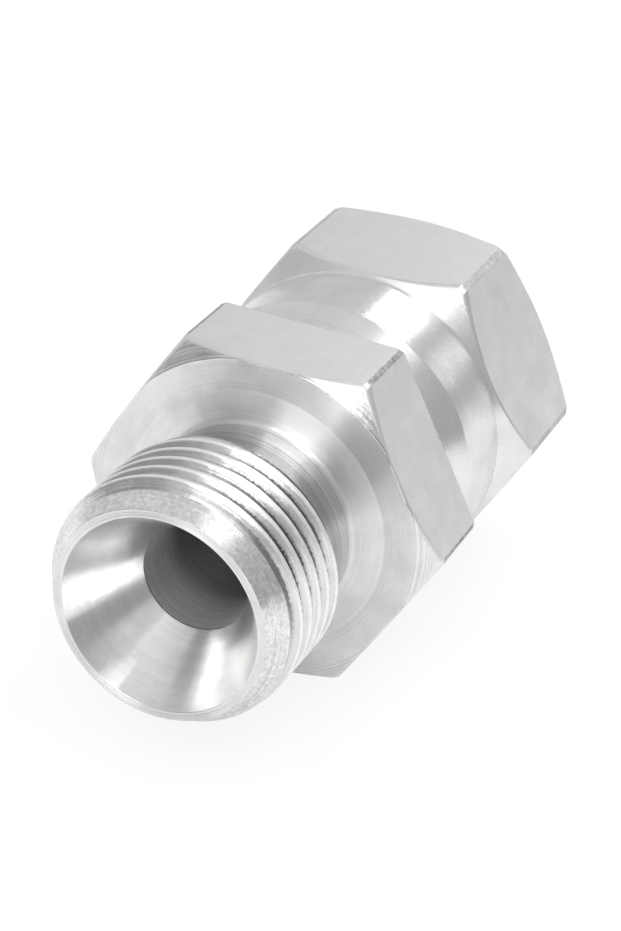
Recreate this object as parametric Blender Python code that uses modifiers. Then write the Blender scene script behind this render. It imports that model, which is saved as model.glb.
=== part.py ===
"""Threaded pipe adapter, 3/8 inch: a male parallel pipe thread with a 60 degree inner cone at one
end, and a captive swivel nut with the matching female thread at the other.

The adapter lies on the flats of its two hexagons. Its axis runs along X, the male end at -X and the
nut at +X, and the flats it lies on are at Z = 0, half way along its length.

Two pieces:
  adapter_body  turned from one hexagonal bar: threaded stub, neck, seal face, hexagon, and the tail
                that the nut turns on, with its shoulder and its 60 degree cone nose
  swivel_nut    a hexagonal nut whose thin collar is rolled in behind the shoulder of the tail
"""

import math

import bmesh
import bpy
from mathutils import Matrix, Vector

MM = 0.001

# The pipe thread, the same at both ends. Its crest and root are flats of one sixth of the pitch,
# and CREST_STATION is where a crest of the male one passes the top of the stub.
THREAD_DIAMETER = 16.662 * MM
THREAD_PITCH = 1.337 * MM
THREAD_DEPTH_PER_PITCH = 0.640327
THREAD_FLAT_PER_PITCH = 1 / 6
CREST_STATION = 1.03 * MM

# Both hexagons
SPANNER_SIZE = 22.0 * MM
BODY_CORNER_ROUNDING = 0.6 * MM
NUT_CORNER_ROUNDING = 1.0 * MM
CHAMFER_TIP_ROUNDING = 0.9 * MM
HALF_SIDE_ANGLE = math.radians(30)

# Passage through the body
BORE_DIAMETER = 7.2 * MM
SEAT_ANGLE = math.radians(60)
MOUTH_WALL = 0.865 * MM
BORE_EDGE = 0.3 * MM

# Male stub, from its end towards the hexagon
LIP_WIDTH = 0.55 * MM
LEAD_IN_ANGLE = math.radians(30)
THREAD_LENGTH = 8.6 * MM
RUN_OUT_ANGLE = math.radians(60)
NECK_LENGTH = 5.25 * MM
NECK_RELIEF = 0.475 * MM
NECK_FILLET = 0.4 * MM
LAND_HEIGHT = 0.45 * MM
LAND_STEP = 0.75 * MM

# Hexagon of the body
HEX_LENGTH = 7.05 * MM
FACE_OVERLAP = 0.1 * MM
HEX_CHAMFER_ANGLE = math.radians(35)
HEX_REAR_ROUNDING = 0.3 * MM

# Tail of the body, inside the nut
SHOULDER_LENGTH = 2.7 * MM
SHOULDER_EDGE = 0.3 * MM
NOSE_LAND = 1.95 * MM
NOSE_CLEARANCE = 0.375 * MM
NOSE_RIM = 1.0 * MM

# Swivel nut
NUT_GAP = 0.6 * MM
LIP_LENGTH = 1.1 * MM
LIP_HEIGHT = 1.6 * MM
LIP_CLEARANCE = 0.6 * MM
LIP_EDGE = 0.3 * MM
ROLL_ANGLE = math.radians(45)
SWIVEL_CLEARANCE = 0.3 * MM
CAVITY_RELIEF = 0.62 * MM
CAVITY_ROOM = 3.2 * MM
SOCKET_LENGTH = 10.6 * MM
SOCKET_ENTRY = 0.4 * MM
SOCKET_CHAMFER_ANGLE = math.radians(45)
COLLAR_STEP = 0.25 * MM
COLLAR_LENGTH = 8.6 * MM
COLLAR_NOSE_WALL = 1.45 * MM
COLLAR_NOSE_ANGLE = math.radians(35)
COLLAR_NOSE_ROUNDING = 0.6 * MM
NUT_FRONT_ANGLE = math.radians(45)
NUT_FACE_INSET = 0.05 * MM
NUT_REAR_ANGLE = math.radians(27)

# Fineness of the turned shapes, and how far cutters and bars run past what they shape
SEGMENTS = 72
THREAD_STEPS = 48
ARC_STEPS = 4
WELD_DISTANCE = 0.001 * MM
EDGE_ANGLE = math.radians(25)
OVERRUN = 1.0 * MM
FLANK_OVERRUN = 0.1 * MM

# Zinc plating: colour and roughness
BODY_ZINC = (0.74, 0.75, 0.76)
BODY_ROUGHNESS = 0.32
NUT_ZINC = (0.76, 0.76, 0.76)
NUT_ROUGHNESS = 0.22

# Radii that follow from the sizes above
thread_radius = THREAD_DIAMETER / 2
root_radius = thread_radius - THREAD_DEPTH_PER_PITCH * THREAD_PITCH
bore_radius = BORE_DIAMETER / 2
mouth_radius = root_radius - MOUTH_WALL
lip_radius = mouth_radius + LIP_WIDTH
neck_radius = root_radius - NECK_RELIEF
land_radius = thread_radius + LAND_STEP
flat_radius = SPANNER_SIZE / 2
corner_radius = flat_radius / math.cos(HALF_SIDE_ANGLE)
face_radius = flat_radius + FACE_OVERLAP
cavity_radius = thread_radius + CAVITY_RELIEF
shoulder_radius = cavity_radius - SWIVEL_CLEARANCE
lip_bore_radius = cavity_radius - LIP_HEIGHT
tail_neck_radius = lip_bore_radius - LIP_CLEARANCE
nose_base_radius = root_radius - NOSE_CLEARANCE
nose_tip_radius = bore_radius + NOSE_RIM
collar_radius = flat_radius - COLLAR_STEP
collar_nose_radius = lip_bore_radius + COLLAR_NOSE_WALL
nut_face_radius = flat_radius - NUT_FACE_INSET
socket_entry_radius = thread_radius + SOCKET_ENTRY

# Stations along the axis, counted from the male end
seat_slope = math.tan(SEAT_ANGLE / 2)
seal_face = THREAD_LENGTH + NECK_LENGTH
hex_rear = seal_face + HEX_LENGTH
nut_nose = hex_rear + NUT_GAP
lip_end = nut_nose + LIP_LENGTH
cavity_start = lip_end + (cavity_radius - lip_bore_radius) / math.tan(ROLL_ANGLE)
shoulder_gap = SWIVEL_CLEARANCE / math.sin(ROLL_ANGLE)
shoulder_start = cavity_start + shoulder_gap - SWIVEL_CLEARANCE / math.tan(ROLL_ANGLE)
shoulder_end = shoulder_start + SHOULDER_LENGTH
nose_base = shoulder_end + NOSE_LAND
nose_tip = nose_base + (nose_base_radius - nose_tip_radius) / seat_slope
cavity_end = shoulder_end + CAVITY_ROOM
nut_face = cavity_end + SOCKET_LENGTH
collar_end = nut_nose + COLLAR_LENGTH

# Where the axis lies in the part's own frame
male_end_x = -nut_face / 2
axis_height = flat_radius


def clear_scene():
    for old in list(bpy.data.objects):
        bpy.data.objects.remove(old, do_unlink=True)


def new_collection(name):
    collection = bpy.data.collections.new(name)
    bpy.context.scene.collection.children.link(collection)
    return collection


def zinc_plate(name, colour, roughness):
    material = bpy.data.materials.new(name)
    material.use_nodes = True
    shader = material.node_tree.nodes["Principled BSDF"]
    shader.inputs["Base Color"].default_value = (*colour, 1.0)
    shader.inputs["Metallic"].default_value = 1.0
    shader.inputs["Roughness"].default_value = roughness
    return material


def arc(centre, radius, start, end):
    """Points of a round edge, as (station, radius) pairs, the angles counted from the axis."""
    points = []
    for step in range(ARC_STEPS + 1):
        angle = start + (end - start) * step / ARC_STEPS
        points.append((centre[0] + radius * math.cos(angle), centre[1] + radius * math.sin(angle)))
    return points


def turned(name, profile, collection):
    """Turn a profile of (station, radius) pairs about the X axis, from low station to high."""
    mesh = bpy.data.meshes.new(name)
    vertices = [(radius, 0.0, -station) for station, radius in profile]
    edges = [(index, index + 1) for index in range(len(profile) - 1)]
    mesh.from_pydata(vertices, edges, [])
    piece = bpy.data.objects.new(name, mesh)
    collection.objects.link(piece)
    screw = piece.modifiers.new("turn", "SCREW")
    screw.axis = "Z"
    screw.angle = math.tau
    screw.steps = SEGMENTS
    screw.render_steps = SEGMENTS
    screw.use_merge_vertices = True
    screw.merge_threshold = WELD_DISTANCE
    piece.rotation_euler = (0.0, -math.pi / 2, 0.0)
    return piece


def rounded_corner(before, corner, after, radius):
    """Points of a round edge in place of the corner of a profile, ending on its two sides."""
    here = Vector(corner)
    back = (Vector(before) - here).normalized()
    ahead = (Vector(after) - here).normalized()
    half_angle = back.angle(ahead) / 2
    centre = here + (back + ahead).normalized() * radius / math.sin(half_angle)
    middle = (here - centre).normalized()
    sweep = math.pi / 2 - half_angle
    turn = math.copysign(1.0, back.cross(ahead))
    points = []
    for step in range(ARC_STEPS + 1):
        angle = turn * sweep * (1 - 2 * step / ARC_STEPS)
        points.append(tuple(centre + Matrix.Rotation(angle, 2) @ middle * radius))
    return points


def hex_bar(name, start, end, rounding, collection):
    """A length of hexagonal bar on the X axis, flats up and down, its long edges rounded."""
    shape = bmesh.new()
    bmesh.ops.create_cone(
        shape,
        cap_ends=True,
        segments=6,
        radius1=corner_radius,
        radius2=corner_radius,
        depth=end - start,
    )
    long_edges = [edge for edge in shape.edges if abs(edge.verts[0].co.z - edge.verts[1].co.z) > MM]
    bmesh.ops.bevel(
        shape,
        geom=long_edges,
        offset=rounding * math.tan(HALF_SIDE_ANGLE),
        segments=ARC_STEPS,
        profile=0.5,
        affect="EDGES",
    )
    mesh = bpy.data.meshes.new(name)
    shape.to_mesh(mesh)
    shape.free()
    bar = bpy.data.objects.new(name, mesh)
    bar.location.x = (start + end) / 2
    bar.rotation_euler = (0.0, math.pi / 2, 0.0)
    collection.objects.link(bar)
    return bar


def thread_groove(name, start, end, collection):
    """The groove of the male thread as a solid: its section carried along a right-hand helix.

    Its flanks run on a little way past the crests, so that no edge of it grazes the stub.
    """
    root_half = THREAD_PITCH * THREAD_FLAT_PER_PITCH / 2
    crest_half = THREAD_PITCH / 2 - root_half
    flank_slope = (crest_half - root_half) / (thread_radius - root_radius)
    mouth_half = crest_half + FLANK_OVERRUN * flank_slope
    section = [
        (-mouth_half, thread_radius + OVERRUN),
        (-mouth_half, thread_radius + FLANK_OVERRUN),
        (-root_half, root_radius),
        (root_half, root_radius),
        (mouth_half, thread_radius + FLANK_OVERRUN),
        (mouth_half, thread_radius + OVERRUN),
    ]
    groove_station = CREST_STATION + THREAD_PITCH / 2
    first = math.floor((start - groove_station) / THREAD_PITCH * THREAD_STEPS)
    last = math.ceil((end - groove_station) / THREAD_PITCH * THREAD_STEPS)
    shape = bmesh.new()
    rings = []
    for step in range(first, last + 1):
        turns = (step + 0.5) / THREAD_STEPS
        angle = math.tau * turns
        middle = groove_station + THREAD_PITCH * turns
        ring = []
        for offset, radius in section:
            place = (middle + offset, -radius * math.sin(angle), radius * math.cos(angle))
            ring.append(shape.verts.new(place))
        rings.append(ring)
    for ring, following in zip(rings, rings[1:]):
        for corner in range(len(section)):
            after = (corner + 1) % len(section)
            shape.faces.new((ring[corner], ring[after], following[after], following[corner]))
    shape.faces.new(rings[0])
    shape.faces.new(rings[-1])
    bmesh.ops.recalc_face_normals(shape, faces=shape.faces)
    bmesh.ops.triangulate(shape, faces=shape.faces)
    mesh = bpy.data.meshes.new(name)
    shape.to_mesh(mesh)
    shape.free()
    groove = bpy.data.objects.new(name, mesh)
    collection.objects.link(groove)
    return groove


def cut_by(piece, operation, other):
    boolean = piece.modifiers.new(operation.lower(), "BOOLEAN")
    boolean.operation = operation
    boolean.solver = "EXACT"
    boolean.object = other
    other.hide_render = True
    other.display_type = "WIRE"


def finished(name, blank, material, collection, origin_station):
    """Make the worked blank a plain mesh of its own, slivers closed, with its origin on the axis."""
    view = bpy.context.evaluated_depsgraph_get()
    mesh = bpy.data.meshes.new_from_object(blank.evaluated_get(view))
    mesh.name = name
    shape = bmesh.new()
    shape.from_mesh(mesh)
    bmesh.ops.dissolve_degenerate(shape, dist=WELD_DISTANCE, edges=shape.edges)
    shape.to_mesh(mesh)
    shape.free()
    mesh.transform(blank.matrix_world)
    for vertex in mesh.vertices:
        vertex.co.x -= origin_station
    mesh.shade_smooth()
    mesh.set_sharp_from_angle(angle=EDGE_ANGLE)
    mesh.materials.clear()
    mesh.materials.append(material)
    piece = bpy.data.objects.new(name, mesh)
    piece.location = (male_end_x + origin_station, 0.0, axis_height)
    collection.objects.link(piece)
    bpy.data.objects.remove(blank, do_unlink=True)
    return piece


def lie_in_frame(tool):
    """Move a cutter from the turning axis to where its piece lies."""
    tool.location.x += male_end_x
    tool.location.z += axis_height


def body_outline():
    lead_in = (thread_radius - lip_radius) / math.tan(LEAD_IN_ANGLE)
    run_out = (thread_radius - neck_radius) / math.tan(RUN_OUT_ANGLE)
    land_start = seal_face - LAND_HEIGHT
    face_edge = (seal_face, face_radius)
    chamfer = (corner_radius - face_radius) * math.tan(HEX_CHAMFER_ANGLE)
    chamfer_tip = (seal_face + chamfer, corner_radius)
    rear_edge = (hex_rear, corner_radius)
    neck_foot = (hex_rear, tail_neck_radius)
    shoulder_rise = (shoulder_radius - tail_neck_radius) / math.tan(ROLL_ANGLE)
    profile = [(0.0, 0.0), (0.0, lip_radius), (lead_in, thread_radius), (THREAD_LENGTH, thread_radius)]
    profile.append((THREAD_LENGTH + run_out, neck_radius))
    fillet_centre = (land_start - NECK_FILLET, neck_radius + NECK_FILLET)
    profile += arc(fillet_centre, NECK_FILLET, -math.pi / 2, 0.0)
    profile += [(seal_face, land_radius), face_edge]
    profile += rounded_corner(face_edge, chamfer_tip, rear_edge, CHAMFER_TIP_ROUNDING)
    profile += rounded_corner(chamfer_tip, rear_edge, neck_foot, HEX_REAR_ROUNDING)
    profile += [
        neck_foot,
        (shoulder_start - shoulder_rise, tail_neck_radius),
        (shoulder_start, shoulder_radius),
        (shoulder_end - SHOULDER_EDGE, shoulder_radius),
        (shoulder_end, shoulder_radius - SHOULDER_EDGE),
        (shoulder_end, nose_base_radius),
        (nose_base, nose_base_radius),
        (nose_tip, nose_tip_radius),
        (nose_tip, 0.0),
    ]
    return profile


def passage_outline():
    seat_depth = (mouth_radius - bore_radius) / seat_slope
    past_mouth = mouth_radius + OVERRUN * seat_slope
    past_tip = bore_radius + BORE_EDGE + OVERRUN
    return [
        (-OVERRUN, 0.0),
        (-OVERRUN, past_mouth),
        (seat_depth, bore_radius),
        (nose_tip - BORE_EDGE, bore_radius),
        (nose_tip + OVERRUN, past_tip),
        (nose_tip + OVERRUN, 0.0),
    ]


def nut_outline():
    nose_centre = (nut_nose + COLLAR_NOSE_ROUNDING, collar_nose_radius - COLLAR_NOSE_ROUNDING)
    nose_arc = arc(nose_centre, COLLAR_NOSE_ROUNDING, math.pi, math.pi / 2 + COLLAR_NOSE_ANGLE)
    taper_start, taper_radius = nose_arc[-1]
    taper = (collar_radius - taper_radius) / math.tan(COLLAR_NOSE_ANGLE)
    cone_foot = (collar_end, collar_radius)
    front_cone = (corner_radius - collar_radius) / math.tan(NUT_FRONT_ANGLE)
    front_tip = (collar_end + front_cone, corner_radius)
    rear_chamfer = (corner_radius - nut_face_radius) * math.tan(NUT_REAR_ANGLE)
    rear_tip = (nut_face - rear_chamfer, corner_radius)
    face_edge = (nut_face, nut_face_radius)
    profile = [(nut_nose, 0.0)] + nose_arc
    profile += [(taper_start + taper, collar_radius), cone_foot]
    profile += rounded_corner(cone_foot, front_tip, rear_tip, CHAMFER_TIP_ROUNDING)
    profile += rounded_corner(front_tip, rear_tip, face_edge, CHAMFER_TIP_ROUNDING)
    profile += [face_edge, (nut_face, 0.0)]
    return profile


def socket_outline():
    thread_start = cavity_end + (cavity_radius - root_radius) / math.tan(SOCKET_CHAMFER_ANGLE)
    entry = (socket_entry_radius - root_radius) / math.tan(SOCKET_CHAMFER_ANGLE)
    past_face = socket_entry_radius + OVERRUN * math.tan(SOCKET_CHAMFER_ANGLE)
    return [
        (nut_nose - OVERRUN, 0.0),
        (nut_nose - OVERRUN, lip_bore_radius + LIP_EDGE + OVERRUN),
        (nut_nose + LIP_EDGE, lip_bore_radius),
        (lip_end, lip_bore_radius),
        (cavity_start, cavity_radius),
        (cavity_end, cavity_radius),
        (thread_start, root_radius),
        (nut_face - entry, root_radius),
        (nut_face + OVERRUN, past_face),
        (nut_face + OVERRUN, 0.0),
    ]


def adapter_body(parts, cutters):
    """Threaded stub, seal face, hexagon and tail, worked from one bar and bored through."""
    bar = hex_bar("body_bar", -OVERRUN, nose_tip + OVERRUN, BODY_CORNER_ROUNDING, parts)
    outline = turned("body_turning", body_outline(), cutters)
    passage = turned("body_passage", passage_outline(), cutters)
    groove = thread_groove("body_thread_groove", -OVERRUN, THREAD_LENGTH + OVERRUN, cutters)
    cut_by(bar, "INTERSECT", outline)
    cut_by(bar, "DIFFERENCE", passage)
    cut_by(bar, "DIFFERENCE", groove)
    bpy.context.view_layer.update()
    material = zinc_plate("zinc_plate_body", BODY_ZINC, BODY_ROUGHNESS)
    body = finished("adapter_body", bar, material, parts, seal_face)
    lie_in_frame(outline)
    lie_in_frame(passage)
    lie_in_frame(groove)
    return body


def swivel_nut(parts, cutters):
    """Hexagonal nut with its collar rolled in behind the shoulder of the tail."""
    bar = hex_bar("nut_bar", nut_nose - OVERRUN, nut_face + OVERRUN, NUT_CORNER_ROUNDING, parts)
    outline = turned("nut_turning", nut_outline(), cutters)
    socket = turned("nut_socket", socket_outline(), cutters)
    cut_by(bar, "INTERSECT", outline)
    cut_by(bar, "DIFFERENCE", socket)
    bpy.context.view_layer.update()
    material = zinc_plate("zinc_plate_nut", NUT_ZINC, NUT_ROUGHNESS)
    nut = finished("swivel_nut", bar, material, parts, collar_end)
    lie_in_frame(outline)
    lie_in_frame(socket)
    return nut


clear_scene()
part_collection = new_collection("threaded_adapter")
cutter_collection = new_collection("cutters")
adapter_body(part_collection, cutter_collection)
swivel_nut(part_collection, cutter_collection)
bpy.context.view_layer.update()
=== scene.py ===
"""Looks of the threaded pipe adapter: a turned and threaded steel body, bright zinc plated, and the
captive swivel nut on its tail. Both lie on the flats of their hexagons, the pipe axis along X.
Sizes are in millimetres, and a station is a place along the axis, counted from the male end."""

import math

import bmesh
import bpy
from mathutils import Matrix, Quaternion, Vector


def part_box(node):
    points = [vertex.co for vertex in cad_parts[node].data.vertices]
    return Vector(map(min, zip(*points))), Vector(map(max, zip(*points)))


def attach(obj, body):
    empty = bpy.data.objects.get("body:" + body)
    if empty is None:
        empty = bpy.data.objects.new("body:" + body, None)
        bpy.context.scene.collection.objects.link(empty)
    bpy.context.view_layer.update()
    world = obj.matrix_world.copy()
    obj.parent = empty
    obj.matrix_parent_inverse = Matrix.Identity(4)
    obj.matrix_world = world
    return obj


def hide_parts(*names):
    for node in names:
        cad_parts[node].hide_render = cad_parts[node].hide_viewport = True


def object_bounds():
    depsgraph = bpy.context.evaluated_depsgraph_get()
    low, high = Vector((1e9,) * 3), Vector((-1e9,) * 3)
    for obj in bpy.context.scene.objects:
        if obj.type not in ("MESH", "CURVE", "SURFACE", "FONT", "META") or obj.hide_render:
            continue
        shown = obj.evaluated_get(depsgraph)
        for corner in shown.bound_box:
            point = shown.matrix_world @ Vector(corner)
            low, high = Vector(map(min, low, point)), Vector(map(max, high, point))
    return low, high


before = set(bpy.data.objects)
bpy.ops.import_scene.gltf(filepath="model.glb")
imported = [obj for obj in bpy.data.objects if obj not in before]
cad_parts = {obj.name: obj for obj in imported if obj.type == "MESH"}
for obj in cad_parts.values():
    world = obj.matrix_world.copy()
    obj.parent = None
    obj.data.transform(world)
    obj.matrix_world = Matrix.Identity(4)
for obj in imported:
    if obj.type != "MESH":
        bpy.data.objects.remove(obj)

cad_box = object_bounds()


# Male thread
# The 3/8 inch parallel pipe thread that is cut on the stub of the body: a 55 degree form with round
# roots, its crests left flat by the turned outside, 19 turns to the inch, right-hand. One tool cuts
# it from the lead-in chamfer to the relief at the neck, and it is plated with the rest of the body.

MM = 0.001
male_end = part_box("adapter_body")[0].x
axis_height = (cad_box[0].z + cad_box[1].z) / 2

PITCH = 1.337
THREAD_RADIUS = 8.331
THREAD_HALF_ANGLE = math.radians(27.5)
THREAD_DEPTH = 0.640327 * PITCH
ROOT_ROUNDING = 0.137329 * PITCH
CREST_HALF_WIDTH = PITCH / 12
CREST_EDGE_BREAK = 0.012
CREST_STATION = 1.03
MALE_TURNS = (-3, 8)
FLANK_ROWS = (0.33, 0.67)
WELD = 0.0005

LIP_RADIUS = 7.16
LIP_ROUNDING = 0.08
LEAD_IN_SLOPE = math.tan(math.radians(30))
RUN_OUT_START = 8.6
RUN_OUT_SLOPE = math.tan(math.radians(60))
NECK_RADIUS = 7.0
run_out_end = RUN_OUT_START + (THREAD_RADIUS - NECK_RADIUS) / RUN_OUT_SLOPE

CORNERS = 6
# Degrees off a corner. The blunt corner ends at 0.801 on the body and at 1.239 on the nut.
CORNER_STEPS = (0.0, 0.5, 0.801, 0.95, 1.08, 1.239, 1.42, 2.0, 3.0)
SIDE_COLUMNS = 34


def column_angles():
    """Angles round the axis, from straight up towards -Y, closest where a flat meets a corner."""
    side = math.tau / CORNERS
    spread = math.radians(CORNER_STEPS[-1])
    angles = []
    for corner in range(CORNERS):
        middle = side * (corner + 0.5)
        angles += [middle - math.radians(step) for step in reversed(CORNER_STEPS)]
        angles += [middle + math.radians(step) for step in CORNER_STEPS[1:-1]]
        plain = side - 2 * spread
        for step in range(SIDE_COLUMNS):
            angles.append(middle + spread + plain * step / SIDE_COLUMNS)
    angles.append(angles[0] + math.tau)
    return angles


ANGLES = column_angles()


def thread_rows(first_turn, last_turn):
    """Places of the rows along the thread, in turns: close at the crest edges and the round root."""
    crest_in = (CREST_HALF_WIDTH - CREST_EDGE_BREAK) / PITCH
    crest_out = (CREST_HALF_WIDTH + CREST_EDGE_BREAK) / PITCH
    arc_end = ROOT_ROUNDING * math.cos(THREAD_HALF_ANGLE) / PITCH
    root_start = 0.5 - arc_end
    one_turn = [-crest_out, -crest_in, 0.0, crest_in, crest_out]
    one_turn += [crest_out + (root_start - crest_out) * share for share in FLANK_ROWS]
    one_turn += [root_start, 0.5 - arc_end / 2, 0.5, 0.5 + arc_end / 2, 0.5 + arc_end]
    one_turn += [1 - crest_out - (root_start - crest_out) * share for share in reversed(FLANK_ROWS)]
    return [turn + place for turn in range(first_turn, last_turn) for place in one_turn]


def flat_sheet(name, rows):
    """A sheet of turns along and angles round, which the tree below wraps into a thread."""
    vertices = [(row, angle, 0.0) for angle in ANGLES for row in rows]
    high = len(rows)
    faces = []
    for column in range(len(ANGLES) - 1):
        for row in range(high - 1):
            low = column * high + row
            faces.append((low, low + 1, low + high + 1, low + high))
    mesh = bpy.data.meshes.new(name)
    mesh.from_pydata(vertices, [], faces)
    sheet = bpy.data.objects.new(name, mesh)
    bpy.context.scene.collection.objects.link(sheet)
    return sheet


def fill(tree, socket, value):
    """Give a socket a value, or link it where the value is another node's output."""
    if isinstance(value, bpy.types.NodeSocket):
        tree.links.new(value, socket)
    else:
        socket.default_value = value


def calc(tree, operation, *values):
    """A math node in a tree, with its inputs filled, given by its output."""
    made = tree.nodes.new("ShaderNodeMath")
    made.operation = operation
    for socket, value in zip(made.inputs, values):
        fill(tree, socket, value)
    return made.outputs[0]


def thread_tree():
    """Geometry Nodes that wrap a flat sheet round the axis as a screw thread between two cones."""
    tree = bpy.data.node_groups.new("wrap_thread", "GeometryNodeTree")
    tree.interface.new_socket(name="Sheet", in_out="INPUT", socket_type="NodeSocketGeometry")
    names = ["Pitch", "Outside Radius", "Crest Half Width", "Root Rounding", "Thread Depth"]
    names += ["Crest Station", "Start", "End", "Start Radius", "End Radius", "Start Slope", "End Slope"]
    names += ["End of Part", "Axis Height"]
    for name in names:
        tree.interface.new_socket(name=name, in_out="INPUT", socket_type="NodeSocketFloat")
    tree.interface.new_socket(name="Inside Thread", in_out="INPUT", socket_type="NodeSocketBool")
    tree.interface.new_socket(name="Finish", in_out="INPUT", socket_type="NodeSocketMaterial")
    tree.interface.new_socket(name="Thread", in_out="OUTPUT", socket_type="NodeSocketGeometry")
    given = tree.nodes.new("NodeGroupInput").outputs

    def choose(condition, if_false, if_true):
        made = tree.nodes.new("GeometryNodeSwitch")
        made.input_type = "FLOAT"
        for socket, value in zip(made.inputs, (condition, if_false, if_true)):
            fill(tree, socket, value)
        return made.outputs[0]

    split = tree.nodes.new("ShaderNodeSeparateXYZ")
    tree.links.new(tree.nodes.new("GeometryNodeInputPosition").outputs[0], split.inputs[0])
    turns = split.outputs[0]
    angle = split.outputs[1]

    pitch = given["Pitch"]
    advance = calc(tree, "ADD", turns, calc(tree, "DIVIDE", angle, math.tau))
    free_station = calc(tree, "ADD", given["Crest Station"], calc(tree, "MULTIPLY", pitch, advance))
    late_station = calc(tree, "MAXIMUM", free_station, given["Start"])
    station = calc(tree, "MINIMUM", late_station, given["End"])

    turns_off_crest = calc(tree, "SUBTRACT", turns, calc(tree, "ROUND", turns))
    off_crest = calc(tree, "MULTIPLY", pitch, calc(tree, "ABSOLUTE", turns_off_crest))
    off_root = calc(tree, "SUBTRACT", calc(tree, "MULTIPLY", pitch, 0.5), off_crest)
    rounding = given["Root Rounding"]
    arc_end = calc(tree, "MULTIPLY", rounding, math.cos(THREAD_HALF_ANGLE))
    off_middle = calc(tree, "MINIMUM", off_root, arc_end)
    rounding_squared = calc(tree, "MULTIPLY", rounding, rounding)
    off_middle_squared = calc(tree, "MULTIPLY", off_middle, off_middle)
    arc_height = calc(tree, "SQRT", calc(tree, "SUBTRACT", rounding_squared, off_middle_squared))
    root_rise = calc(tree, "SUBTRACT", rounding, arc_height)
    root_drop = calc(tree, "SUBTRACT", given["Thread Depth"], root_rise)
    off_edge = calc(tree, "SUBTRACT", off_crest, given["Crest Half Width"])
    down_flank = calc(tree, "MAXIMUM", off_edge, 0.0)
    flank_drop = calc(tree, "DIVIDE", down_flank, math.tan(THREAD_HALF_ANGLE))
    drop = choose(calc(tree, "LESS_THAN", off_root, arc_end), flank_drop, root_drop)
    form = calc(tree, "SUBTRACT", given["Outside Radius"], drop)

    past_start = calc(tree, "SUBTRACT", station, given["Start"])
    start_rise = calc(tree, "MULTIPLY", past_start, given["Start Slope"])
    start_cone = calc(tree, "ADD", given["Start Radius"], start_rise)
    before_end = calc(tree, "SUBTRACT", given["End"], station)
    end_rise = calc(tree, "MULTIPLY", before_end, given["End Slope"])
    end_cone = calc(tree, "ADD", given["End Radius"], end_rise)
    outside = calc(tree, "MINIMUM", form, calc(tree, "MINIMUM", start_cone, end_cone))
    inside = calc(tree, "MAXIMUM", form, calc(tree, "MAXIMUM", start_cone, end_cone))
    radius = choose(given["Inside Thread"], outside, inside)

    place = tree.nodes.new("ShaderNodeCombineXYZ")
    fill(tree, place.inputs[0], calc(tree, "ADD", given["End of Part"], station))
    sideways = calc(tree, "MULTIPLY", radius, calc(tree, "SINE", angle))
    fill(tree, place.inputs[1], calc(tree, "MULTIPLY", sideways, -1.0))
    upright = calc(tree, "MULTIPLY", radius, calc(tree, "COSINE", angle))
    fill(tree, place.inputs[2], calc(tree, "ADD", given["Axis Height"], upright))

    moved = tree.nodes.new("GeometryNodeSetPosition")
    fill(tree, moved.inputs["Geometry"], given["Sheet"])
    fill(tree, moved.inputs["Position"], place.outputs[0])
    welded = tree.nodes.new("GeometryNodeMergeByDistance")
    welded.inputs["Distance"].default_value = WELD * MM
    fill(tree, welded.inputs["Geometry"], moved.outputs[0])
    real = tree.nodes.new("GeometryNodeRealizeInstances")
    fill(tree, real.inputs["Geometry"], welded.outputs[0])
    finish = tree.nodes.new("GeometryNodeSetMaterial")
    fill(tree, finish.inputs["Geometry"], real.outputs[0])
    fill(tree, finish.inputs["Material"], given["Finish"])
    tree.links.new(finish.outputs[0], tree.nodes.new("NodeGroupOutput").inputs[0])
    return tree


wrap_thread = thread_tree()


def cut_thread(name, turns, sizes, inside, finish):
    """Wrap a sheet with the tree above and give it back as a plain mesh. Sizes are in millimetres."""
    sheet = flat_sheet(name, thread_rows(*turns))
    wrap = sheet.modifiers.new("wrap", "NODES")
    wrap.node_group = wrap_thread
    sizes = {
        "Pitch": PITCH,
        "Outside Radius": THREAD_RADIUS,
        "Crest Half Width": CREST_HALF_WIDTH,
        "Root Rounding": ROOT_ROUNDING,
        "Thread Depth": THREAD_DEPTH,
        **sizes,
    }
    inputs = {item.name: item.identifier for item in wrap_thread.interface.items_tree}
    for size, value in sizes.items():
        slope = size.endswith("Slope")
        wrap[inputs[size]] = value if slope else value * MM
    wrap[inputs["End of Part"]] = male_end
    wrap[inputs["Axis Height"]] = axis_height
    wrap[inputs["Inside Thread"]] = inside
    wrap[inputs["Finish"]] = finish
    view = bpy.context.evaluated_depsgraph_get()
    mesh = bpy.data.meshes.new_from_object(sheet.evaluated_get(view))
    bpy.data.objects.remove(sheet, do_unlink=True)
    return mesh


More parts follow.
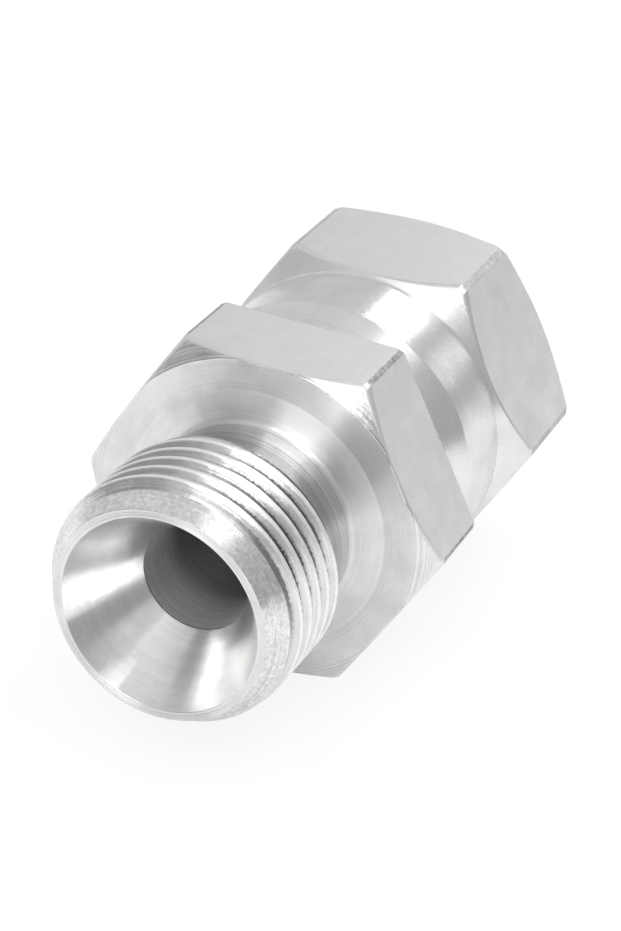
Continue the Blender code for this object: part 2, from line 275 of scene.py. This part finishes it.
def zinc(name, colour, roughness, stretch, marks, grain, edge=None, root_shade=None, mottle=None):
    """Bright zinc plate over turned or drawn steel. Sizes are in millimetres.

    stretch is how far highlights are drawn out across the turning marks. marks gives their spacing
    and depth, and how much darker they are, grain the size and depth of the fine mottling. edge
    gives the distances from the axis where an edge strip begins and is full, how much lighter its
    colour is made and how much rougher it is: a painted highlight where it is lighter, painted shade
    where it is darker. root_shade gives the same for painted shade in the bottom of a groove, and the
    angle round the axis where that painted shade is darkest. mottle gives the stations between which
    a mottled surface fades out, how much lighter its specks are and how much rougher it is.
    """
    material = bpy.data.materials.new(name)
    material.use_nodes = True
    tree = material.node_tree
    shader = tree.nodes["Principled BSDF"]
    shader.inputs["Metallic"].default_value = 1.0
    shader.inputs["Anisotropic"].default_value = stretch
    shader.inputs["Anisotropic Rotation"].default_value = 0.25

    def noise(scale, detail, roughness, along=None):
        made = tree.nodes.new("ShaderNodeTexNoise")
        made.noise_dimensions = "3D" if along is None else "1D"
        made.inputs["Scale"].default_value = scale
        made.inputs["Detail"].default_value = detail
        made.inputs["Roughness"].default_value = roughness
        if along is None:
            tree.links.new(place, made.inputs["Vector"])
        else:
            tree.links.new(along, made.inputs["W"])
        return made.outputs["Fac"]

    def spread(value, low, high, start=0.3, end=0.7):
        made = tree.nodes.new("ShaderNodeMapRange")
        for socket, given in zip(made.inputs, (value, start, end, low, high)):
            fill(tree, socket, given)
        return made.outputs[0]

    def add_share(total, share, amount):
        return calc(tree, "ADD", total, calc(tree, "MULTIPLY", share, amount))

    place = tree.nodes.new("ShaderNodeTexCoord").outputs["Object"]
    from_axis = tree.nodes.new("ShaderNodeVectorMath")
    from_axis.operation = "SUBTRACT"
    from_axis.inputs[1].default_value = (0.0, 0.0, axis_height)
    tree.links.new(place, from_axis.inputs[0])
    split = tree.nodes.new("ShaderNodeSeparateXYZ")
    tree.links.new(from_axis.outputs[0], split.inputs[0])
    x, y, z = split.outputs
    across = calc(tree, "ADD", calc(tree, "MULTIPLY", y, y), calc(tree, "MULTIPLY", z, z))
    radius = calc(tree, "SQRT", across)
    along_tool = calc(tree, "ADD", x, calc(tree, "MULTIPLY", radius, 0.9))

    if stretch:
        around = tree.nodes.new("ShaderNodeVectorMath")
        around.operation = "CROSS_PRODUCT"
        around.inputs[0].default_value = (1.0, 0.0, 0.0)
        tree.links.new(from_axis.outputs[0], around.inputs[1])
        to_world = tree.nodes.new("ShaderNodeVectorTransform")
        to_world.vector_type = "VECTOR"
        to_world.convert_from = "OBJECT"
        to_world.convert_to = "WORLD"
        tree.links.new(around.outputs[0], to_world.inputs[0])
        tree.links.new(to_world.outputs[0], shader.inputs["Tangent"])

    blotches = noise(0.45 / MM, 4.0, 0.55)
    grain_size, grain_depth = grain
    specks = noise(1.0 / (grain_size * MM), 3.0, 0.6)
    shade = calc(tree, "MULTIPLY", spread(blotches, 0.93, 1.05), spread(specks, 0.96, 1.03))
    gloss = spread(blotches, roughness + 0.04, roughness - 0.03)
    spacing, mark_depth, mark_shade = marks
    rings = noise(1.0 / (spacing * MM), 3.0, 0.75, along_tool)
    lined = spread(rings, 1.0 + 0.3 * mark_shade, 1.0 - mark_shade, 0.38, 0.62)
    shade = calc(tree, "MULTIPLY", shade, lined)
    mottled = 0.0
    if mottle:
        mottled_to, clear_from, lighter, rougher = mottle
        mottled = spread(x, 1.0, 0.0, male_end + mottled_to * MM, male_end + clear_from * MM)
        spots = spread(noise(3.5 / MM, 3.0, 0.65), -0.4, 1.0, 0.40, 0.66)
        shade = add_share(shade, calc(tree, "MULTIPLY", mottled, spots), lighter)
        gloss = add_share(gloss, mottled, rougher)
    # An edge strip: rougher, with its colour raised for a painted highlight or lowered for painted
    # shade.
    if edge:
        start, full, lighter, rougher = edge
        there = spread(radius, 0.0, 1.0, start * MM, full * MM)
        nicks = spread(noise(3.2 / MM, 4.0, 0.7), 0.45, 1.0, 0.40, 0.58)
        shade = add_share(shade, calc(tree, "MULTIPLY", there, nicks), lighter)
        gloss = add_share(gloss, there, rougher)
    # Painted shade in the bottom of the grooves, darkest on one side round the axis, with a ragged
    # edge.
    if root_shade:
        start, full, lighter, rougher, shade_at = root_shade
        sideways = calc(tree, "MULTIPLY", y, -math.sin(shade_at))
        facing = calc(tree, "MULTIPLY_ADD", z, math.cos(shade_at), sideways)
        most = spread(calc(tree, "DIVIDE", facing, radius), 0.1, 1.0, 0.65, 0.92)
        jags = 0.5
        ragged = calc(tree, "MULTIPLY_ADD", noise(4.5 / MM, 4.0, 0.75), jags * MM, radius)
        deep = spread(ragged, 0.0, 1.0, (start + jags / 2) * MM, (full + jags / 2) * MM)
        most = calc(tree, "MULTIPLY", most, calc(tree, "SUBTRACT", 1.0, mottled))
        there = calc(tree, "MULTIPLY", deep, most)
        shade = add_share(shade, there, lighter)
        gloss = add_share(gloss, there, rougher)
    tint = tree.nodes.new("ShaderNodeVectorMath")
    tint.operation = "SCALE"
    tint.inputs[0].default_value = colour
    tree.links.new(shade, tint.inputs["Scale"])
    tree.links.new(tint.outputs[0], shader.inputs["Base Color"])
    tree.links.new(gloss, shader.inputs["Roughness"])

    fine = calc(tree, "MULTIPLY", specks, grain_depth / mark_depth)
    depth = spread(noise(0.8 / MM, 2.0, 0.5), 0.35, 1.25)
    height = calc(tree, "ADD", calc(tree, "MULTIPLY", rings, depth), fine)
    bump = tree.nodes.new("ShaderNodeBump")
    bump.inputs["Strength"].default_value = 1.0
    bump.inputs["Distance"].default_value = mark_depth * MM
    tree.links.new(height, bump.inputs["Height"])
    tree.links.new(bump.outputs[0], shader.inputs["Normal"])
    return material


# Crests rubbed rougher, with their colour raised past the plating's as a painted highlight.
crest_rub_and_highlight = (THREAD_RADIUS - 0.12, THREAD_RADIUS - 0.03, 0.45, 0.24)
# Painted shade: the groove bottoms on one side of the thread are darker, and rougher.
painted_root_shade = (THREAD_RADIUS - 0.38, THREAD_RADIUS - 0.50, -0.75, 0.15, math.radians(46))
mouth_mottle = (1.5, 2.4, 0.19, 0.07)
thread_zinc = zinc(
    "thread_zinc", (0.80, 0.80, 0.795), roughness=0.20, stretch=0.6,
    marks=(0.22, 0.020, 0.10), grain=(0.12, 0.002),
    edge=crest_rub_and_highlight, root_shade=painted_root_shade, mottle=mouth_mottle,
)
male_thread_sizes = {
    "Crest Station": CREST_STATION,
    "Start": LIP_ROUNDING,
    "Start Radius": LIP_RADIUS + LIP_ROUNDING * LEAD_IN_SLOPE,
    "Start Slope": LEAD_IN_SLOPE,
    "End": run_out_end,
    "End Radius": NECK_RADIUS,
    "End Slope": RUN_OUT_SLOPE,
}
male_thread = cut_thread("male_thread", MALE_TURNS, male_thread_sizes, False, thread_zinc)


# Adapter body
# One length of 22 mm hexagonal steel bar, turned and bored: the threaded stub with its 60 degree
# inner cone, the neck, the seal face, the hexagon left between two turned ends, and the tail that
# the nut turns on. It is zinc plated: glossy where it was turned, satin on the drawn flats.

FLAT_RADIUS = 11.0
CORNER_RADIUS = FLAT_RADIUS / math.cos(math.pi / CORNERS)
BODY_CORNER_RADIUS = 12.60
TIP_ROUNDING = 0.9
EDGE_ROUNDING = 0.15
EDGE_BREAK = 0.1
SUPPORT = 0.04
SUPPORT_SHARE = 0.06
LONGEST_REACH = 0.42
SHORTEST_SIDE = 0.001

SEAL_FACE = 13.85
SEAL_FACE_RADIUS = 9.081
SEAL_FACE_RISE = 0.557
HEX_FACE_RADIUS = 11.1
HEX_CHAMFER = math.radians(35)
HEX_REAR = 20.9
TAIL_NECK_RADIUS = 6.751
SHOULDER_RADIUS = 8.651
TAIL_NECK_END = 22.424
SHOULDER_START = 24.324
SHOULDER_END = 27.024
NOSE_BASE_RADIUS = 7.10
NOSE_BASE_END = 28.974
NOSE_TIP = 33.304
NOSE_RIM = 1.0
BORE_EDGE_BREAK = 0.3
BORE_RADIUS = 3.6
SEAT_DEPTH = 5.214
MOUTH_RADIUS = 6.61
LIP_RINGS = ((6.80, 0.03), (6.97, 0.02))
LIP_RING_HALF_WIDTH = 0.05
# Painted shade in the bore: its colour darkens from the first depth to the second, down to this share.
BORE_SHADE_START = SEAT_DEPTH + 2.5
BORE_SHADE_FULL = SEAT_DEPTH + 5.5
BORE_SHADE_SHARE = 0.5


def bar_radius(angle, corner_radius):
    """Distance from the axis to the drawn bar in one direction: its flats, or its blunted corners."""
    side = math.tau / CORNERS
    off_corner = abs((angle % side) - side / 2)
    return min(FLAT_RADIUS / math.cos(side / 2 - off_corner), corner_radius / math.cos(off_corner))


def run_out(bar, foot, slant, direction, finish):
    """The corner where a chamfer runs out on the bar, rounder towards the corners of the hexagon."""
    station = foot[0] + direction * max(bar - foot[1], 0.0) * math.tan(slant)
    share = (bar - FLAT_RADIUS) / (CORNER_RADIUS - FLAT_RADIUS)
    rounding = EDGE_ROUNDING + (TIP_ROUNDING - EDGE_ROUNDING) * share
    return (station, bar, rounding, 5, finish)


def rounded_corner(before, corner, after, rounding, steps):
    """Points of one corner of an outline: an arc, with a supporting point on each side of it."""
    here = Vector(corner)
    back = Vector(before) - here
    ahead = Vector(after) - here
    room = min(back.length, ahead.length)
    if room < SHORTEST_SIDE:
        return [corner] * (steps + 3)
    back_length, ahead_length = back.length, ahead.length
    back.normalize()
    ahead.normalize()
    half = back.angle(ahead) / 2
    reach = min(rounding / math.tan(half), LONGEST_REACH * room)
    centre = here + (back + ahead).normalized() * reach / math.cos(half)
    first = here + back * reach - centre
    last = here + ahead * reach - centre
    sweep = first.angle(last)
    points = [here + back * (reach + min(SUPPORT, SUPPORT_SHARE * back_length))]
    for step in range(steps + 1):
        share = step / steps
        weights = math.sin((1 - share) * sweep), math.sin(share * sweep)
        points.append(centre + (first * weights[0] + last * weights[1]) / math.sin(sweep))
    points.append(here + ahead * (reach + min(SUPPORT, SUPPORT_SHARE * ahead_length)))
    return [tuple(point) for point in points]


def rounded_outline(corners):
    """Points and finishes of an outline. A corner is (station, radius, rounding, steps, finish)."""
    points = [corners[0][:2]]
    finishes = [corners[0][4]]
    for before, corner, after in zip(corners, corners[1:], corners[2:]):
        arc = rounded_corner(before[:2], corner[:2], after[:2], corner[2], corner[3])
        points += arc
        finishes += [corner[4]] * len(arc)
    points.append(corners[-1][:2])
    return points, finishes


def skin(name, outline_at, materials):
    """Carry an outline round the axis: the outline may change from column to column."""
    vertices = []
    for angle in ANGLES[:-1]:
        points, finishes = rounded_outline(outline_at(angle))
        for station, radius in points:
            y = -radius * MM * math.sin(angle)
            z = axis_height + radius * MM * math.cos(angle)
            vertices.append((male_end + station * MM, y, z))
    high = len(finishes) + 1
    columns = len(ANGLES) - 1
    faces = []
    for column in range(columns):
        following = (column + 1) % columns
        for row in range(high - 1):
            low = column * high + row
            beside = following * high + row
            faces.append((low, low + 1, beside + 1, beside))
    mesh = bpy.data.meshes.new(name)
    mesh.from_pydata(vertices, [], faces)
    for material in materials:
        mesh.materials.append(material)
    slots = [materials.index(finish) for finish in finishes]
    mesh.polygons.foreach_set("material_index", slots * columns)
    return mesh


def close_piece(name, mesh, thread, materials):
    """Weld a skin and its thread into one closed piece with its faces pointing out."""
    whole = bmesh.new()
    whole.from_mesh(mesh)
    whole.from_mesh(thread)
    bmesh.ops.remove_doubles(whole, verts=whole.verts, dist=WELD * MM)
    bmesh.ops.recalc_face_normals(whole, faces=whole.faces)
    finished = bpy.data.meshes.new(name)
    whole.to_mesh(finished)
    whole.free()
    for material in materials:
        finished.materials.append(material)
    finished.shade_smooth()
    piece = bpy.data.objects.new(name, finished)
    bpy.context.scene.collection.objects.link(piece)
    bpy.data.meshes.remove(mesh)
    bpy.data.meshes.remove(thread)
    return piece


neck_zinc = zinc(
    "neck_zinc", (0.80, 0.80, 0.795), roughness=0.20, stretch=0.5,
    marks=(0.26, 0.040, 0.30), grain=(0.12, 0.0003),
)
turned_zinc = zinc(
    "turned_zinc", (0.87, 0.87, 0.865), roughness=0.34, stretch=0.95,
    marks=(0.26, 0.012, 0.05), grain=(0.12, 0.0003),
)
chamfer_zinc = zinc(
    "chamfer_zinc", (0.80, 0.80, 0.795), roughness=0.20, stretch=0.6,
    marks=(0.26, 0.045, 0.16), grain=(0.12, 0.0005),
)
seat_zinc = zinc(
    "seat_zinc", (0.82, 0.82, 0.815), roughness=0.19, stretch=0.97,
    marks=(0.15, 0.004, 0.04), grain=(0.15, 0.0003),
)
# The blunted corners of the body's hexagon: rougher as drawn bar, and darkened with painted shade in
# place of the highlight the lamps would put on them.
blunt_corner_shade = (BODY_CORNER_RADIUS - 0.015, BODY_CORNER_RADIUS - 0.001, -0.55, 0.35)
flat_zinc = zinc(
    "flat_zinc", (0.82, 0.82, 0.815), roughness=0.38, stretch=0.0,
    marks=(0.60, 0.0005, 0.0), grain=(0.14, 0.008), edge=blunt_corner_shade,
)
bore_zinc = zinc(
    "bore_zinc", (0.90, 0.90, 0.895), roughness=0.60, stretch=0.0,
    marks=(0.30, 0.010, 0.10), grain=(0.20, 0.004),
)
body_materials = [thread_zinc, neck_zinc, turned_zinc, chamfer_zinc, seat_zinc, flat_zinc, bore_zinc]


def shade_deep_in_bore(material, shade_start, shade_full, darkest_share):
    """Painted shade in the bore: its colour darkens with depth, where less light reaches. Depths in
    millimetres.
    """
    tree = material.node_tree
    shader = tree.nodes["Principled BSDF"]
    own_colour = shader.inputs["Base Color"].links[0].from_socket
    place = tree.nodes.new("ShaderNodeSeparateXYZ")
    tree.links.new(tree.nodes.new("ShaderNodeTexCoord").outputs["Object"], place.inputs[0])
    fade = tree.nodes.new("ShaderNodeMapRange")
    fade.interpolation_type = "SMOOTHSTEP"
    ends = (male_end + shade_start * MM, male_end + shade_full * MM)
    for socket, value in zip(fade.inputs, (place.outputs[0], *ends, 1.0, darkest_share)):
        fill(tree, socket, value)
    darker = tree.nodes.new("ShaderNodeVectorMath")
    darker.operation = "SCALE"
    tree.links.new(own_colour, darker.inputs[0])
    tree.links.new(fade.outputs[0], darker.inputs["Scale"])
    tree.links.new(darker.outputs[0], shader.inputs["Base Color"])


# Painted shade that darkens the bore deeper in.
shade_deep_in_bore(bore_zinc, BORE_SHADE_START, BORE_SHADE_FULL, BORE_SHADE_SHARE)


def body_outline(angle):
    """From the foot of the thread along the outside to the cone nose, and back through the bore."""
    bar = bar_radius(angle, BODY_CORNER_RADIUS)
    face_edge = min(HEX_FACE_RADIUS, bar - EDGE_BREAK)
    foot = (SEAL_FACE + EDGE_BREAK, HEX_FACE_RADIUS)
    outline = [
        (run_out_end, NECK_RADIUS, 0, 0, neck_zinc),
        (SEAL_FACE - SEAL_FACE_RISE, NECK_RADIUS, 0.4, 6, turned_zinc),
        (SEAL_FACE, SEAL_FACE_RADIUS, 0.1, 3, turned_zinc),
        (SEAL_FACE, face_edge, 0.06, 3, chamfer_zinc),
        run_out(bar, foot, HEX_CHAMFER, 1, flat_zinc),
        (HEX_REAR, bar, 0.15, 3, turned_zinc),
        (HEX_REAR, TAIL_NECK_RADIUS, 0.3, 3, turned_zinc),
        (TAIL_NECK_END, TAIL_NECK_RADIUS, 0.3, 3, turned_zinc),
        (SHOULDER_START, SHOULDER_RADIUS, 0.2, 3, turned_zinc),
        (SHOULDER_END, SHOULDER_RADIUS, 0.3, 4, turned_zinc),
        (SHOULDER_END, NOSE_BASE_RADIUS, 0.15, 3, turned_zinc),
        (NOSE_BASE_END, NOSE_BASE_RADIUS, 0.3, 4, seat_zinc),
        (NOSE_TIP, BORE_RADIUS + NOSE_RIM, 0.2, 4, turned_zinc),
        (NOSE_TIP, BORE_RADIUS + BORE_EDGE_BREAK, 0.08, 3, turned_zinc),
        (NOSE_TIP - BORE_EDGE_BREAK, BORE_RADIUS, 0.1, 3, bore_zinc),
        (SEAT_DEPTH, BORE_RADIUS, 0.12, 4, seat_zinc),
        (0.0, MOUTH_RADIUS, 0.05, 3, turned_zinc),
    ]
    for middle, depth in LIP_RINGS:
        outline += [
            (0.0, middle - LIP_RING_HALF_WIDTH, 0.02, 2, turned_zinc),
            (depth, middle, 0.02, 2, turned_zinc),
            (0.0, middle + LIP_RING_HALF_WIDTH, 0.02, 2, turned_zinc),
        ]
    outline += [
        (0.0, LIP_RADIUS, LIP_ROUNDING, 3, thread_zinc),
        (LIP_ROUNDING, LIP_RADIUS + LIP_ROUNDING * LEAD_IN_SLOPE, 0, 0, thread_zinc),
    ]
    return outline


body_skin = skin("body_skin", body_outline, body_materials)
body = close_piece("turned_body", body_skin, male_thread, body_materials)
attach(body, "body")
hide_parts("adapter_body")


# Swivel nut
# A hexagonal steel nut with a thin round collar. The collar was slipped over the shoulder of the tail
# and its end rolled in behind it, so the nut turns but stays on. Glossy zinc on the turned collar
# and cones, satin on the flats, and the female pipe thread inside the open end.

NUT_CORNER_RADIUS = 12.545
NUT_FACE = 40.824
NUT_FACE_RADIUS = 10.95
NUT_REAR_CHAMFER = math.radians(27)
NUT_FRONT_CONE = math.radians(45)
COLLAR_RADIUS = 10.75
COLLAR_END = 30.1
ROLL_START = 24.70
NOSE_START = 21.5
NOSE_RADIUS = 8.512
NOSE_HOLE_RADIUS = 7.351
NOSE_HOLE_BREAK = 0.3
NOSE_HOLE_LENGTH = 1.1
NOSE_LENGTH = 2.7
CAVITY_RADIUS = 8.951
CAVITY_END = 30.224
ENTRY_RADIUS = 8.731
ENTRY_ROUNDING = 0.08
FEMALE_CREST_STATION = 0.4
FEMALE_TURNS = (21, 32)

female_thread_sizes = {
    "Crest Station": FEMALE_CREST_STATION,
    "Start": CAVITY_END,
    "Start Radius": CAVITY_RADIUS,
    "Start Slope": -1.0,
    "End": NUT_FACE - ENTRY_ROUNDING,
    "End Radius": ENTRY_RADIUS - ENTRY_ROUNDING,
    "End Slope": -1.0,
}
female_thread = cut_thread("female_thread", FEMALE_TURNS, female_thread_sizes, True, thread_zinc)

nut_zinc = zinc(
    "nut_zinc", (0.82, 0.82, 0.815), roughness=0.27, stretch=0.7,
    marks=(0.35, 0.010, 0.02), grain=(0.20, 0.0005),
)
# The blunted corners of the nut's hexagon: rougher as drawn bar, and darkened with painted shade in
# place of the highlight the lamps would put on them.
nut_corner_shade = (NUT_CORNER_RADIUS - 0.020, NUT_CORNER_RADIUS - 0.001, -0.30, 0.40)
nut_flat_zinc = zinc(
    "nut_flat_zinc", (0.82, 0.82, 0.815), roughness=0.34, stretch=0.0,
    marks=(0.60, 0.0004, 0.0), grain=(0.20, 0.004), edge=nut_corner_shade,
)
nut_materials = [thread_zinc, nut_zinc, nut_flat_zinc]


def nut_outline(angle):
    """From the mouth of the socket over the outside to the rolled nose, and back into the cavity."""
    bar = bar_radius(angle, NUT_CORNER_RADIUS)
    face_edge = min(NUT_FACE_RADIUS, bar - EDGE_BREAK)
    return [
        (NUT_FACE - ENTRY_ROUNDING, ENTRY_RADIUS - ENTRY_ROUNDING, 0, 0, thread_zinc),
        (NUT_FACE, ENTRY_RADIUS, 0.06, 3, nut_zinc),
        (NUT_FACE, face_edge, 0.06, 3, nut_zinc),
        run_out(bar, (NUT_FACE, NUT_FACE_RADIUS), NUT_REAR_CHAMFER, -1, nut_flat_zinc),
        run_out(bar, (COLLAR_END, COLLAR_RADIUS), NUT_FRONT_CONE, 1, nut_zinc),
        (COLLAR_END, COLLAR_RADIUS, 0.3, 4, nut_zinc),
        (ROLL_START, COLLAR_RADIUS, 0.5, 5, nut_zinc),
        (NOSE_START, NOSE_RADIUS, 0.6, 6, nut_zinc),
        (NOSE_START, NOSE_HOLE_RADIUS + NOSE_HOLE_BREAK, 0.12, 3, nut_zinc),
        (NOSE_START + NOSE_HOLE_BREAK, NOSE_HOLE_RADIUS, 0.12, 3, nut_zinc),
        (NOSE_START + NOSE_HOLE_LENGTH, NOSE_HOLE_RADIUS, 0.2, 3, nut_zinc),
        (NOSE_START + NOSE_LENGTH, CAVITY_RADIUS, 0.2, 3, nut_zinc),
        (CAVITY_END, CAVITY_RADIUS, 0, 0, nut_zinc),
    ]


nut_skin = skin("nut_skin", nut_outline, nut_materials)
nut = close_piece("rolled_nut", nut_skin, female_thread, nut_materials)
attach(nut, "nut")
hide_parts("swivel_nut")


# Floor
# A plain pale table top under the adapter, 4 m square. It looks white to the camera and in the
# metal, and takes the adapter's shadow.

FLOOR_SIZE = 4.0
FLOOR_GREY = 0.75
SEEN_GLOW = 0.8
MIRRORED_GLOW = 0.35
GLOW_LEVEL = 1.05

floor_mesh = bpy.data.meshes.new("floor")
half_floor = FLOOR_SIZE / 2
floor_corners = ((-1, -1), (1, -1), (1, 1), (-1, 1))
floor_points = [(x * half_floor, y * half_floor, 0.0) for x, y in floor_corners]
floor_mesh.from_pydata(floor_points, [], [(0, 1, 2, 3)])
floor = bpy.data.objects.new("floor", floor_mesh)
bpy.context.scene.collection.objects.link(floor)
floor_paint = bpy.data.materials.new("floor_paint")
floor_paint.use_nodes = True
floor_tree = floor_paint.node_tree
floor_tree.nodes.remove(floor_tree.nodes["Principled BSDF"])
matt = floor_tree.nodes.new("ShaderNodeBsdfDiffuse")
matt.inputs["Color"].default_value = (FLOOR_GREY, FLOOR_GREY, FLOOR_GREY, 1.0)
glow = floor_tree.nodes.new("ShaderNodeEmission")
glow.inputs["Color"].default_value = (1.0, 1.0, 1.0, 1.0)
glow.inputs["Strength"].default_value = GLOW_LEVEL
ray = floor_tree.nodes.new("ShaderNodeLightPath").outputs
mirrored = calc(floor_tree, "MAXIMUM", ray["Is Glossy Ray"], ray["Is Transmission Ray"])
mirrored = calc(floor_tree, "MULTIPLY", mirrored, MIRRORED_GLOW)
seen = calc(floor_tree, "MULTIPLY", ray["Is Camera Ray"], SEEN_GLOW)
white_floor = floor_tree.nodes.new("ShaderNodeMixShader")
floor_tree.links.new(calc(floor_tree, "ADD", seen, mirrored), white_floor.inputs[0])
floor_tree.links.new(matt.outputs[0], white_floor.inputs[1])
floor_tree.links.new(glow.outputs[0], white_floor.inputs[2])
floor_tree.links.new(white_floor.outputs[0], floor_tree.nodes["Material Output"].inputs["Surface"])
floor_mesh.materials.append(floor_paint)


# Studio light and camera
# A grey room, lighter overhead and on the left, with a dark corner in front on the left, and soft
# boxes of a plain level: bright ones behind the nut that burn out the turned rounds, and wide ones
# for the faces in front.

ROOM_LEVEL = 0.54
LIGHTER_OVERHEAD = 0.14
LIGHTER_LEFT = 0.14
DARK_CORNER = Vector((-0.60, 0.75, 0.28))
DARK_SHARE = 0.50
# Cosines of the angles off the dark corner's middle, where it begins and where it is full.
DARK_EDGE = 0.85
DARK_CORE = 0.96
TABLE_LIGHT = 1.0

world = bpy.data.worlds.new("studio")
world.use_nodes = True
room = world.node_tree
looking = room.nodes.new("ShaderNodeTexCoord").outputs["Generated"]
sky = room.nodes.new("ShaderNodeSeparateXYZ")
room.links.new(looking, sky.inputs[0])
wall = calc(room, "MULTIPLY_ADD", sky.outputs[2], LIGHTER_OVERHEAD, ROOM_LEVEL)
wall = calc(room, "MULTIPLY_ADD", sky.outputs[1], LIGHTER_LEFT, wall)
towards_corner = room.nodes.new("ShaderNodeVectorMath")
towards_corner.operation = "DOT_PRODUCT"
towards_corner.inputs[1].default_value = DARK_CORNER.normalized()
room.links.new(looking, towards_corner.inputs[0])
dark = room.nodes.new("ShaderNodeMapRange")
dark.interpolation_type = "SMOOTHSTEP"
dark_values = (towards_corner.outputs["Value"], DARK_EDGE, DARK_CORE, 1.0, DARK_SHARE)
for socket, value in zip(dark.inputs, dark_values):
    fill(room, socket, value)
wall = calc(room, "MULTIPLY", wall, dark.outputs[0])
on_table = room.nodes.new("ShaderNodeMix")
on_table.data_type = "FLOAT"
lit_ray = room.nodes.new("ShaderNodeLightPath").outputs["Is Diffuse Ray"]
for place, value in ((0, lit_ray), (2, wall), (3, TABLE_LIGHT)):
    fill(room, on_table.inputs[place], value)
room.nodes["Background"].inputs["Color"].default_value = (1.0, 1.0, 1.0, 1.0)
room.links.new(on_table.outputs[0], room.nodes["Background"].inputs["Strength"])
bpy.context.scene.world = world

LAMP_DISTANCE = 0.5


def soft_box(name, heading, height, wide, high, level):
    """A rectangular lamp that faces the adapter from a heading and a height in degrees.

    wide and high are its angles as seen from the adapter, level is how bright it looks there. Its
    distance is in metres.
    """
    light = bpy.data.lights.new(name, "AREA")
    light.shape = "RECTANGLE"
    light.size = 2 * LAMP_DISTANCE * math.tan(math.radians(wide / 2))
    light.size_y = 2 * LAMP_DISTANCE * math.tan(math.radians(high / 2))
    light.energy = level * math.pi * light.size * light.size_y
    lamp = bpy.data.objects.new(name, light)
    up = math.radians(height)
    towards = math.radians(heading)
    flat = LAMP_DISTANCE * math.cos(up)
    lamp.location = (flat * math.cos(towards), flat * math.sin(towards), LAMP_DISTANCE * math.sin(up))
    lamp.rotation_mode = "QUATERNION"
    lamp.rotation_quaternion = lamp.location.to_track_quat("Z", "Y")
    bpy.context.scene.collection.objects.link(lamp)


soft_box("rear_key", -3, 34, 15, 13, 7.5)
soft_box("rear_low", 2, 6, 14, 12, 3.5)
soft_box("rear_high", -24, 54, 16, 14, 1.8)
soft_box("rear_right", -30, 21, 12, 16, 0.8)
soft_box("front_key", -170, 42, 36, 32, 2.4)
soft_box("right_high", -75, 68, 34, 22, 1.3)

CAMERA_PLACE = Vector((-141.88, -55.70, 95.67)) * MM
LOOK_AT = Vector((-11.06, -5.24, 18.60)) * MM
CAMERA_ROLL = math.radians(5.61)
LENS = 101.3

camera_data = bpy.data.cameras.new("camera")
camera_data.lens = LENS
camera_data.clip_start = 0.01
camera_data.clip_end = 20.0
camera = bpy.data.objects.new("camera", camera_data)
camera.location = CAMERA_PLACE
camera.rotation_mode = "QUATERNION"
level_view = (LOOK_AT - CAMERA_PLACE).to_track_quat("-Z", "Y")
camera.rotation_quaternion = level_view @ Quaternion((0, 0, 1), CAMERA_ROLL)
bpy.context.scene.collection.objects.link(camera)
bpy.context.scene.camera = camera

bpy.context.scene.view_settings.view_transform = "Standard"
